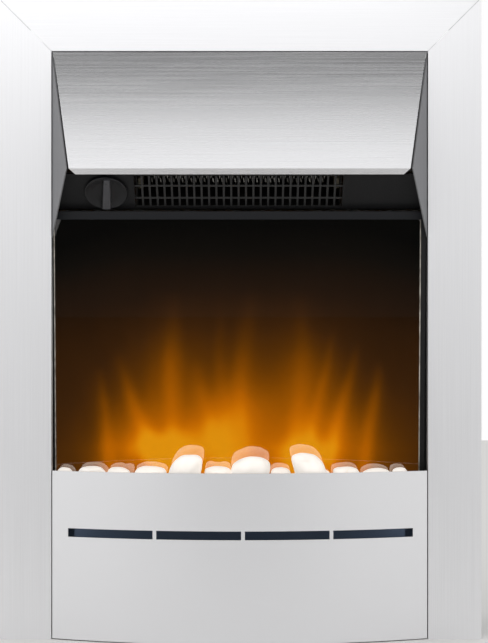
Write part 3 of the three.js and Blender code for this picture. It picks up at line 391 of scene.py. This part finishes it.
def tumbledMarble():
    # White marble worn round in a drum: chalky, faintly veined, with small pits.
    # It also glows evenly: painted light that brightens the stones, though they are no lamp.
    material, tree, shader = newMaterial("tumbled white marble with painted glow", {
        "Roughness": 0.62, "Emission Color": hexColour("#fff4e8"), "Emission Strength": 0.42})
    place = addNode(tree, "ShaderNodeTexCoord")
    veins = addNode(tree, "ShaderNodeTexNoise",
                    values={"Scale": 55.0, "Detail": 6.0, "Distortion": 1.2},
                    links={"Vector": place.outputs["Object"]})
    ramp = addNode(tree, "ShaderNodeValToRGB", links={"Fac": veins.outputs["Fac"]})
    setRamp(ramp, [(0.3, "#cdc6bf"), (0.4, "#e9e5e0"), (0.62, "#f0ede9"), (0.72, "#dcd6d0")])
    tree.links.new(ramp.outputs["Color"], shader.inputs["Base Color"])
    pits = addNode(tree, "ShaderNodeTexNoise", values={"Scale": 700.0, "Detail": 3.0},
                   links={"Vector": place.outputs["Object"]})
    dents = addNode(tree, "ShaderNodeBump", values={"Strength": 0.35, "Distance": 0.0003},
                    links={"Height": pits.outputs["Fac"]})
    tree.links.new(dents.outputs["Normal"], shader.inputs["Normal"])
    return material


def circuitBoard(top):
    # Green solder mask over woven glass, with pale lamps standing above its top face.
    material, tree, shader = newMaterial("circuit board", {"Roughness": 0.4})
    place = addNode(tree, "ShaderNodeTexCoord")
    weave = addNode(tree, "ShaderNodeTexChecker", values={
        "Color1": hexColour("#1f5a34"), "Color2": hexColour("#24653b"), "Scale": 700.0},
        links={"Vector": place.outputs["Object"]})
    height = addNode(tree, "ShaderNodeSeparateXYZ", links={0: place.outputs["Object"]})
    lamps = addNode(tree, "ShaderNodeMath", {"operation": "GREATER_THAN"}, {1: top},
                    {0: height.outputs["Z"]})
    shade = addNode(tree, "ShaderNodeMix", {"data_type": "RGBA"}, {7: hexColour("#f3efdc")},
                    {0: lamps.outputs[0], 6: weave.outputs["Color"]})
    tree.links.new(shade.outputs[2], shader.inputs["Base Color"])
    return material


steelUpright = brushedSteel("brushed stainless, grain upright", "z")
steelAcross = brushedSteel("brushed stainless, grain across", "x")
steelCanopy = brushedSteel("linished stainless canopy", "x", {
    "roughness": 0.25, "tint": 0.03, "metallic": 0.95})
# The cheeks take a much darker grey: painted shade for the dim side of the room that they mirror.
steelCheek = brushedSteel("stainless darkened for painted shade", "z", {"colour": "#7c7c7e", "metallic": 0.95})
steelFret = brushedSteel("satin stainless fret", "x", {
    "tint": 0.006, "roughness": 0.5, "bump": 0.000005})
primeBack(steelFret)
zincSheet = galvanisedSheet()
# The heater duct behind the grille is near black: painted shade for the dark inside of the outlet.
shadeBlackSheet = powderCoat("sheet blackened for painted shade", "#0b0a09", 0.6, 0.3)
# The guard's wire is a lighter grey than the panel: painted sheen for the light its bars catch.
guardWireSheen = powderCoat("black wire lightened for painted sheen", "#363636", 0.4, 0.15)
blackCoat = powderCoat("black powder coat", "#1f1f20", 0.5)
headerCoat = powderCoat("blue-black powder coat", "#17181c", 0.45, 0.08)
slateCoat = powderCoat("slate blue powder coat", "#6b7d99", 0.45, 0.08)
blackAbs = mouldedPlastic("black moulded plastic", "#1b1b1d", 0.36)
greyNylon = mouldedPlastic("grey nylon", "#76797b", 0.5)
screenGlass = halfMirrorGlass()
marble = tumbledMarble()
mica = micaBoard()
wire = resistanceWire()
greenBoard = circuitBoard(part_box("led_board")[0][2] + 0.0018)  # a hair over the board's sheet

dress(["frame_left_upright", "frame_right_upright"], steelUpright)
dress(["hood_left_cheek", "hood_right_cheek"], steelCheek)
dress(["frame_top_rail"], steelAcross)
dress(["hood_panel"], steelCanopy)
dress(["fret_panel"], steelFret)
dress(["corner_bracket_left", "corner_bracket_right", "trim_clip_left", "trim_clip_right",
       "console_bracket_left", "console_bracket_right", "selector_shaft",
       "fan_housing", "fan_motor", "flame_mask", "fret_bracket_left", "fret_bracket_right",
       "casing_base", "casing_back", "casing_left_side", "casing_right_side", "casing_top",
       "flame_spindle", "spindle_motor"], zincSheet)
dress(["heater_duct"], shadeBlackSheet)
dress(["outlet_guard"], guardWireSheen)
dress(["control_panel", "screen_channel_left", "screen_channel_right",
       "screen_sill", "pebble_tray"], blackCoat)
dress(["screen_header"], headerCoat)
dress(["air_baffle"], slateCoat)
dress(["control_knob", "fan_impeller", "spindle_bush", "cable_gland"], blackAbs)
dress(["selector_switch", "fan_bush", "terminal_block"], greyNylon)
dress(["heating_coil"], wire)
dress(["element_card", "thermal_cutout"], mica)
dress(["viewing_glass"], screenGlass)
dress(["led_board"], greenBoard)
print("materials on the frame's nodes")

# The lit film behind the glass. A tongue is x at its foot, height of its tip, half width, lean,
# glow; a heart is x, height, half width, half height, glow. The tongues fan out as they rise.
flameValues = {
    "columns": 190, "rows": 140, "thickness": 0.0015, "sideGap": 0.0004, "endGap": 0.0016,
    "film": 0.7, "glow": 1.75, "foot": 0.190, "reach": 0.225,
    "brown": 0.27, "body": 0.56, "bodyHalf": 0.146, "bodyTaper": 0.33, "bodyX": -0.002,
    "wander": 0.005, "wanderSize": 0.05, "flicker": 0.0015, "flickerSize": 0.014,
    "tongues": [
        (-0.092, 0.292, 0.011, -0.33, 0.15), (-0.132, 0.276, 0.010, -0.16, 0.16),
        (-0.067, 0.352, 0.016, -0.02, 0.15), (-0.030, 0.284, 0.012, -0.14, 0.12),
        (-0.017, 0.342, 0.009, -0.03, 0.06), (-0.003, 0.350, 0.018, 0.08, 0.12),
        (0.060, 0.352, 0.017, 0.01, 0.14), (0.073, 0.318, 0.008, 0.18, 0.10),
        (0.094, 0.301, 0.009, 0.25, 0.14), (0.131, 0.281, 0.009, 0.11, 0.18)],
    "hearts": [(-0.080, 0.190, 0.034, 0.016, 0.22), (-0.002, 0.228, 0.036, 0.030, 0.16),
               (-0.034, 0.205, 0.026, 0.020, 0.12), (0.068, 0.184, 0.024, 0.014, 0.18),
               (0.098, 0.205, 0.032, 0.032, 0.14), (-0.104, 0.205, 0.028, 0.030, 0.14),
               (0.076, 0.262, 0.024, 0.034, 0.08), (-0.075, 0.270, 0.024, 0.040, 0.06)],
}


def glowAt(x, z, values):
    wander = noise.noise(Vector((x, z * 0.5, 0.3)) / values["wanderSize"])
    flicker = noise.noise(Vector((x, z * 0.3, 1.7)) / values["flickerSize"])
    x += values["wander"] * wander + values["flicker"] * flicker
    rise = max(0.0, z - values["foot"])
    up = rise / values["reach"]
    corner = max(0.0, abs(x) - 0.08) / 0.11
    glow = values["brown"] * max(0.0, 1 - (up * (1 + 0.12 * corner * corner)) ** 2)
    half = values["bodyHalf"] - values["bodyTaper"] * rise
    glow += (values["body"] * math.exp(-((x - values["bodyX"]) / half) ** 4)
             * max(0.0, 1 - up * 1.1) ** 2.2)
    for foot, tip, half, lean, strength in values["tongues"]:
        share = min(1.0, max(0.0, (tip - z) / (tip - values["foot"])))
        off = (x - foot - lean * (z - values["foot"])) / (half * (0.45 + 0.55 * share))
        glow += strength * min(1.0, 2.2 * share) * math.exp(-off * off)
    for place, height, halfWidth, halfHeight, strength in values["hearts"]:
        glow += strength * math.exp(-((x - place) / halfWidth) ** 2
                                    - ((z - height) / halfHeight) ** 2)
    return glow * (1 + 0.05 * flicker)


def addFlameFilm(values):
    low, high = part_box("flame_diffuser")
    slope = math.atan2(high[1] - low[1] - values["thickness"], high[2] - low[2])
    length = (high[2] - low[2]) / math.cos(slope)
    mesh = bmesh.new()
    bmesh.ops.create_grid(mesh, x_segments=values["columns"], y_segments=values["rows"],
                          size=0.5)
    middle = (Vector(low) + Vector(high)) / 2
    place = (Matrix.Translation(middle) @ Matrix.Rotation(math.pi / 2 + slope, 4, "X")
             @ Matrix.Diagonal((high[0] - low[0] - values["sideGap"],
                                length - values["endGap"], 1, 1)))
    bmesh.ops.transform(mesh, matrix=place, verts=mesh.verts)
    bmesh.ops.recalc_face_normals(mesh, faces=mesh.faces)
    if mesh.faces[:][0].normal.y > 0:  # the first side faces the glass
        bmesh.ops.reverse_faces(mesh, faces=mesh.faces)
    film = values["thickness"] * values["film"]
    bmesh.ops.translate(mesh, verts=mesh.verts, vec=(0, -film / 2, 0))
    bmesh.ops.solidify(mesh, geom=mesh.faces[:], thickness=film)
    glow = mesh.verts.layers.float.new("glow")
    for vert in mesh.verts:
        vert[glow] = glowAt(vert.co.x, vert.co.z, values)
    addPiece("flameFilm", mesh, "fire", litFilm(values), ["flame_diffuser"])


def litFilm(values):
    # Printed polyester lit from behind: soft flames broken up by the fine weave of its print.
    material, tree, shader = newMaterial("lit flame film", {
        "Base Color": hexColour("#060403"), "Roughness": 0.7, "Specular IOR Level": 0.2,
        "Emission Strength": values["glow"]})
    glow = addNode(tree, "ShaderNodeAttribute", {"attribute_name": "glow"})
    place = addNode(tree, "ShaderNodeTexCoord")
    # Threads are drawn 2.1 and 2.6 mm apart, some ten times the real weave, so that they show.
    slanted = addNode(tree, "ShaderNodeTexWave", {"bands_direction": "DIAGONAL"},
                      {"Scale": 240.0, "Distortion": 3.0, "Detail": 1.0, "Detail Scale": 0.25},
                      {"Vector": place.outputs["Object"]})
    upright = addNode(tree, "ShaderNodeTexWave", {"bands_direction": "X"},
                      {"Scale": 150.0, "Distortion": 2.0, "Detail": 1.0, "Detail Scale": 0.3},
                      {"Vector": place.outputs["Object"]})
    grain = addNode(tree, "ShaderNodeTexNoise", values={"Scale": 900.0, "Detail": 1.0},
                    links={"Vector": place.outputs["Object"]})
    weave = addNode(tree, "ShaderNodeMath", {"operation": "ADD"},
                    links={0: slanted.outputs["Fac"], 1: upright.outputs["Fac"]})
    weave = addNode(tree, "ShaderNodeMath", {"operation": "ADD"},
                    links={0: weave.outputs[0], 1: grain.outputs["Fac"]})
    screenPrint = addNode(tree, "ShaderNodeMapRange", values={
        "From Min": 0.5, "From Max": 2.5, "To Min": 0.91, "To Max": 1.09},
        links={"Value": weave.outputs[0]})
    level = addNode(tree, "ShaderNodeMath", {"operation": "MULTIPLY"},
                    links={0: glow.outputs["Fac"], 1: screenPrint.outputs["Result"]})
    ramp = addNode(tree, "ShaderNodeValToRGB", links={"Fac": level.outputs[0]})
    setRamp(ramp, [(0.0, "#010100"), (0.06, "#0d0a06"), (0.15, "#26180c"), (0.26, "#42280f"),
                   (0.39, "#633a08"), (0.54, "#894f02"), (0.70, "#b36601"), (0.82, "#d17601"),
                   (0.93, "#f48e01"), (1.0, "#ffae14")])
    tree.links.new(ramp.outputs["Color"], shader.inputs["Emission Color"])
    return material


addFlameFilm(flameValues)
print("flames lit")

# The tops of the three large stones lean: a positive share leans to the right. The filler stones
# lie in rows from the tray's front to the glass, wherever no larger stone does.
stoneValues = {"rounds": 4, "swell": 0.16, "dimple": 0.05, "grain": 0.008,
               "fullness": {0: 0.88, 2: 0.74},
               "lean": {"pebble_05": 0.22, "pebble_07": 0.12, "pebble_09": -0.28},
               "fillerRounds": 3, "fillerSeed": 40, "fillerRows": 4, "fillerColumns": 12,
               "fillerStep": 0.0155, "fillerRowStep": 0.86, "fillerHeight": 0.0115,
               "fillerFront": 0.0105, "fillerJitter": (0.003, 0.0015, 0.08),
               "fillerSideGap": 0.012, "fillerFrontGap": 0.003}


def growStone(number, low, high, values, lean=0.0, rounds=None):
    stone = bmesh.new()
    bmesh.ops.create_icosphere(stone, subdivisions=rounds or values["rounds"], radius=1.0)
    shift = Vector((number * 3.7, number * 1.9, number * 0.7))
    for vert in stone.verts:
        way = vert.co.normalized()
        size = 1 + values["swell"] * noise.noise(way * 0.9 + shift)
        size += values["dimple"] * noise.noise(way * 2.3 + shift)
        size += values["grain"] * noise.noise(way * 9.0 + shift)
        vert.co = way * size
        for axis, share in values["fullness"].items():
            vert.co[axis] = math.copysign(abs(vert.co[axis]) ** share, vert.co[axis])
        vert.co.x += lean * (vert.co.z + 0.4 * vert.co.z * vert.co.z)
    corners = [[f(v.co[axis] for v in stone.verts) for axis in range(3)] for f in (min, max)]
    for vert in stone.verts:
        for axis in range(3):
            share = (vert.co[axis] - corners[0][axis]) / (corners[1][axis] - corners[0][axis])
            vert.co[axis] = low[axis] + share * (high[axis] - low[axis])
    for face in stone.faces:
        face.smooth = True
    return stone


def trayFrontAt(x):
    # The tray's front edge follows the bow of the fret.
    radius = fretRadius()
    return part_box("pebble_tray")[0][1] + radius - math.sqrt(radius ** 2 - x ** 2)


def addPebbles(values):
    pebbles = sorted(name for name in nodes if name.startswith("pebble_") and name[-1].isdigit())
    for number, name in enumerate(pebbles):
        low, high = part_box(name)
        stone = growStone(number, low, high, values, values["lean"].get(name, 0.0))
        addPiece("stone" + name[-2:], stone, "fire", marble, [name])
    addFillerStones([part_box(name) for name in pebbles], values)


def addFillerStones(taken, values):
    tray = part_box("pebble_tray")
    step = values["fillerStep"]
    floor = min(box[0][2] for box in taken)
    sideways, deep, wide = values["fillerJitter"]
    bed = bmesh.new()
    noise.seed_set(values["fillerSeed"])  # else noise_vector is seeded by the clock
    number = values["fillerSeed"]
    for row in range(values["fillerRows"]):
        for column in range(-values["fillerColumns"], values["fillerColumns"] + 1):
            number += 1
            jitter = noise.noise_vector(Vector((number * 0.73, row * 1.3, 0.5)))
            x = (column + 0.5 * (row % 2)) * step + sideways * jitter.x
            half = step * (0.40 + wide * jitter.z)
            y = (tray[0][1] + values["fillerFront"] + row * step * values["fillerRowStep"]
                 + deep * jitter.y)
            height = values["fillerHeight"] * (1 + 0.15 * jitter.x)
            low = Vector((x - half, y - half * 0.9, floor))
            high = Vector((x + half, y + half * 0.9, floor + height))
            if (abs(x) > tray[1][0] - values["fillerSideGap"]
                    or y - half < trayFrontAt(x) + values["fillerFrontGap"]):
                continue
            if any(low[0] < box[1][0] and high[0] > box[0][0] and low[1] < box[1][1]
                   and high[1] > box[0][1] for box in taken):
                continue
            stone = growStone(number, low, high, values, rounds=values["fillerRounds"])
            data = bpy.data.meshes.new("filler")
            stone.to_mesh(data)
            stone.free()
            bed.from_mesh(data)
            bpy.data.meshes.remove(data)
    addPiece("fillerStones", bed, "fire", marble)


addPebbles(stoneValues)
print("pebble bed laid")

# The knob: a thin disc with a dished face, and a grip that is broader at its foot. The grip is
# coloured lighter as a painted highlight, and a black strip down its left side is a painted
# shadow. The grip leans to the right at its head.
knobValues = {"radius": 0.02165, "foot": 0.0006, "rim": 0.0040, "dish": 0.0026, "segments": 72,
              "gripTop": 0.0064, "head": (-0.0012, 0.0055), "heel": (-0.0055, 0.0043),
              "reach": 0.0196, "sunk": 0.0004, "slim": 0.86, "gripBevel": 0.0006,
              "line": 0.0011, "lineLap": 0.0004, "lineShort": 0.0030, "lineLow": 0.0008,
              "lineBevel": 0.0002}


def knobPlace():
    joint = joints["knob_turn"]
    outward = -Vector(joint["axis"]).normalized()
    across = Vector((1, 0, 0))
    turn = Matrix((across, outward.cross(across), outward)).transposed().to_4x4()
    return Matrix.Translation(joint["pos_m"]) @ turn


def addBar(mesh, head, heel, reach, low, high, slim, offset):
    # A bar with its own left and right edge at each end; slim narrows its top.
    bar = bmesh.ops.create_cube(mesh, size=1.0)["verts"]
    for vert in bar:
        left, right = head if vert.co.y > 0 else heel
        middle, half = (left + right) / 2, (right - left) / 2
        half *= slim if vert.co.z > 0 else 1.0
        vert.co = Vector((middle + math.copysign(half, vert.co.x), math.copysign(reach, vert.co.y),
                          high if vert.co.z > 0 else low))
    made = bmesh.ops.bevel(mesh, geom=list({e for v in bar for e in v.link_edges}), offset=offset,
                           affect="EDGES", segments=3, profile=0.5, material=-1)
    return {face for vert in made["verts"] for face in vert.link_faces}


def addKnob(values):
    mesh = bmesh.new()
    r, rim = values["radius"], values["rim"]
    profile = [(0, values["foot"]), (r - 0.0006, values["foot"]), (r, values["foot"] + 0.0006),
               (r, rim - 0.0007), (r - 0.0002, rim - 0.0002), (r - 0.0008, rim),
               (r - 0.0016, rim - 0.0001), (r - 0.0045, values["dish"] + 0.0004),
               (r - 0.009, values["dish"]), (0, values["dish"])]
    verts = [mesh.verts.new((x, 0, z)) for x, z in profile]
    edges = [mesh.edges.new(pair) for pair in zip(verts, verts[1:])]
    bmesh.ops.spin(mesh, geom=verts + edges, cent=(0, 0, 0), axis=(0, 0, 1), angle=2 * math.pi,
                   steps=values["segments"], use_merge=True)
    bmesh.ops.remove_doubles(mesh, verts=mesh.verts, dist=1e-6)
    head, heel = values["head"], values["heel"]
    line, lap, sunk = values["line"], values["lineLap"], values["foot"] + values["sunk"]
    grip = addBar(mesh, head, heel, values["reach"], sunk, values["gripTop"], values["slim"],
                  values["gripBevel"])
    # The grip takes a lighter plastic: a painted highlight where light falls on the ridge.
    for face in grip:
        face.material_index = 1
    # A near-black strip down the grip's left side: a painted shadow beside the ridge.
    paintedShadowStrip = addBar(mesh, (head[0] - line, head[0] + lap), (heel[0] - line, heel[0] + lap),
                  values["reach"] - values["lineShort"], sunk,
                  values["gripTop"] - values["lineLow"], 1.0, values["lineBevel"])
    for face in paintedShadowStrip:
        face.material_index = 2
    bmesh.ops.recalc_face_normals(mesh, faces=mesh.faces)
    for face in mesh.faces:
        face.smooth = face.calc_area() > 4e-8 and abs(face.normal.z) < 0.999
    bmesh.ops.transform(mesh, matrix=knobPlace(), verts=mesh.verts)
    knob = addPiece("knobCap", mesh, "knob", blackAbs, ["control_knob"])
    knob.data.materials.append(mouldedPlastic("black plastic lightened for painted highlight", "#4a4a4d", 0.33))
    knob.data.materials.append(mouldedPlastic("black strip of painted shadow", "#060606", 0.6))


addKnob(knobValues)
print("knob fitted")

# The channels' lips are left bare where they were cut, and catch the light beside the glass.
edgeValues = {"width": 0.0010, "proud": 0.0002, "lip": 0.0012, "glass": 0.003, "back": 0.0006,
              "forward": 0.0009, "short": 0.003, "bevel": 0.0002}


def addLipEdges(values):
    # Bare cut steel: bright and thin.
    material, tree, shader = newMaterial("bare cut edge", {"Metallic": 0.6, "Roughness": 0.4})
    place = addNode(tree, "ShaderNodeTexCoord")
    shine = addNode(tree, "ShaderNodeTexNoise", values={"Scale": 90.0},
                    links={"Vector": place.outputs["Object"]})
    ramp = addNode(tree, "ShaderNodeValToRGB", links={"Fac": shine.outputs["Fac"]})
    setRamp(ramp, [(0.3, "#8d867c"), (0.7, "#d8d2c6")])
    tree.links.new(ramp.outputs["Color"], shader.inputs["Base Color"])
    mesh = bmesh.new()
    glassLow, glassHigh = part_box("viewing_glass")
    glass = values["glass"]
    lean = math.atan2(glassHigh[1] - glassLow[1] - glass, glassHigh[2] - glassLow[2])
    for side, channel in ((-1, "screen_channel_left"), (1, "screen_channel_right")):
        low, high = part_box(channel)
        x = high[0] if side < 0 else low[0]
        z = (low[2] + high[2]) / 2
        y = (glassLow[1] + glassHigh[1] - glass) / 2 - values["forward"]
        bar = bmesh.ops.create_cube(mesh, size=1.0)["verts"]
        size = Matrix.Diagonal((values["width"], values["lip"] + 2 * values["proud"],
                                high[2] - low[2] - values["short"], 1))
        place = (Matrix.Translation((x + side * values["back"], y, z))
                 @ Matrix.Rotation(lean, 4, "X") @ size)
        bmesh.ops.transform(mesh, matrix=place, verts=bar)
    bmesh.ops.bevel(mesh, geom=mesh.edges[:], offset=values["bevel"], affect="EDGES", segments=2,
                    profile=0.5, material=-1)
    addPiece("lipEdges", mesh, "fire", material)


addLipEdges(edgeValues)
print("lip edges bared")

# Blind rivets and screws that hold the casing and the brackets together.
fastenerValues = {"rivetRadius": 0.0024, "rivetRise": 0.0008, "screwRadius": 0.0034,
                  "screwRise": 0.0016, "fromEdge": 0.007, "backMargin": 0.04, "backRivets": 6,
                  "acrossRivets": 5, "acrossPitch": 0.08, "sideDepths": (0.02, 0.065, 0.11),
                  "fretScrews": (0.045, 0.095), "fretScrewDepth": 0.010,
                  "trimScrews": (0.48, 0.515), "trimScrewSide": 0.205}


def addHead(mesh, place, outward, radius, rise, socket):
    # A round domed head, or a six-sided one with a socket.
    profile = [(0.0, 0.0), (radius, 0.0), (radius, rise * 0.25), (radius * 0.82, rise * 0.75),
               (radius * 0.45, rise)]
    if socket:
        profile += [(radius * 0.40, rise), (radius * 0.38, rise * 0.3), (0.0, rise * 0.3)]
    else:
        profile += [(0.0, rise)]
    head = bmesh.new()
    verts = [head.verts.new((x, 0, z)) for x, z in profile]
    edges = [head.edges.new(pair) for pair in zip(verts, verts[1:])]
    bmesh.ops.spin(head, geom=verts + edges, cent=(0, 0, 0), axis=(0, 0, 1), angle=2 * math.pi,
                   steps=6 if socket else 16, use_merge=True)
    bmesh.ops.remove_doubles(head, verts=head.verts, dist=1e-7)
    bmesh.ops.recalc_face_normals(head, faces=head.faces)
    turn = Vector(outward).to_track_quat("Z", "Y").to_matrix().to_4x4()
    bmesh.ops.transform(head, matrix=Matrix.Translation(place) @ turn, verts=head.verts)
    data = bpy.data.meshes.new("head")
    head.to_mesh(data)
    head.free()
    mesh.from_mesh(data)
    bpy.data.meshes.remove(data)


def addFasteners(values):
    mesh = bmesh.new()
    rivet = (values["rivetRadius"], values["rivetRise"], False)
    screw = (values["screwRadius"], values["screwRise"], True)
    backLow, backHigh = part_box("casing_back")
    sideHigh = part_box("casing_right_side")[1]
    edge, margin, pitch = values["fromEdge"], values["backMargin"], values["acrossPitch"]
    rise = (backHigh[2] - 2 * margin) / (values["backRivets"] - 1)
    for i in range(values["backRivets"]):
        for side in (-1, 1):
            addHead(mesh, (side * (backHigh[0] - edge), backHigh[1], margin + i * rise),
                    (0, 1, 0), *rivet)
    for i in range(values["acrossRivets"]):
        x = (i - (values["acrossRivets"] - 1) / 2) * pitch
        for z in (edge, backHigh[2] - edge):
            addHead(mesh, (x, backHigh[1], z), (0, 1, 0), *rivet)
    for z in (edge, sideHigh[2] - edge):
        for y in values["sideDepths"]:
            for side in (-1, 1):
                addHead(mesh, (side * backHigh[0], y, z), (side, 0, 0), *rivet)
    for side in (-1, 1):
        for z in values["fretScrews"]:
            addHead(mesh, (side * backHigh[0], values["fretScrewDepth"], z), (side, 0, 0), *screw)
        for z in values["trimScrews"]:
            addHead(mesh, (side * values["trimScrewSide"], 0.0, z), (0, 1, 0), *screw)
    addPiece("fasteners", mesh, "fire", zincSheet)


addFasteners(fastenerValues)
print("fasteners on")
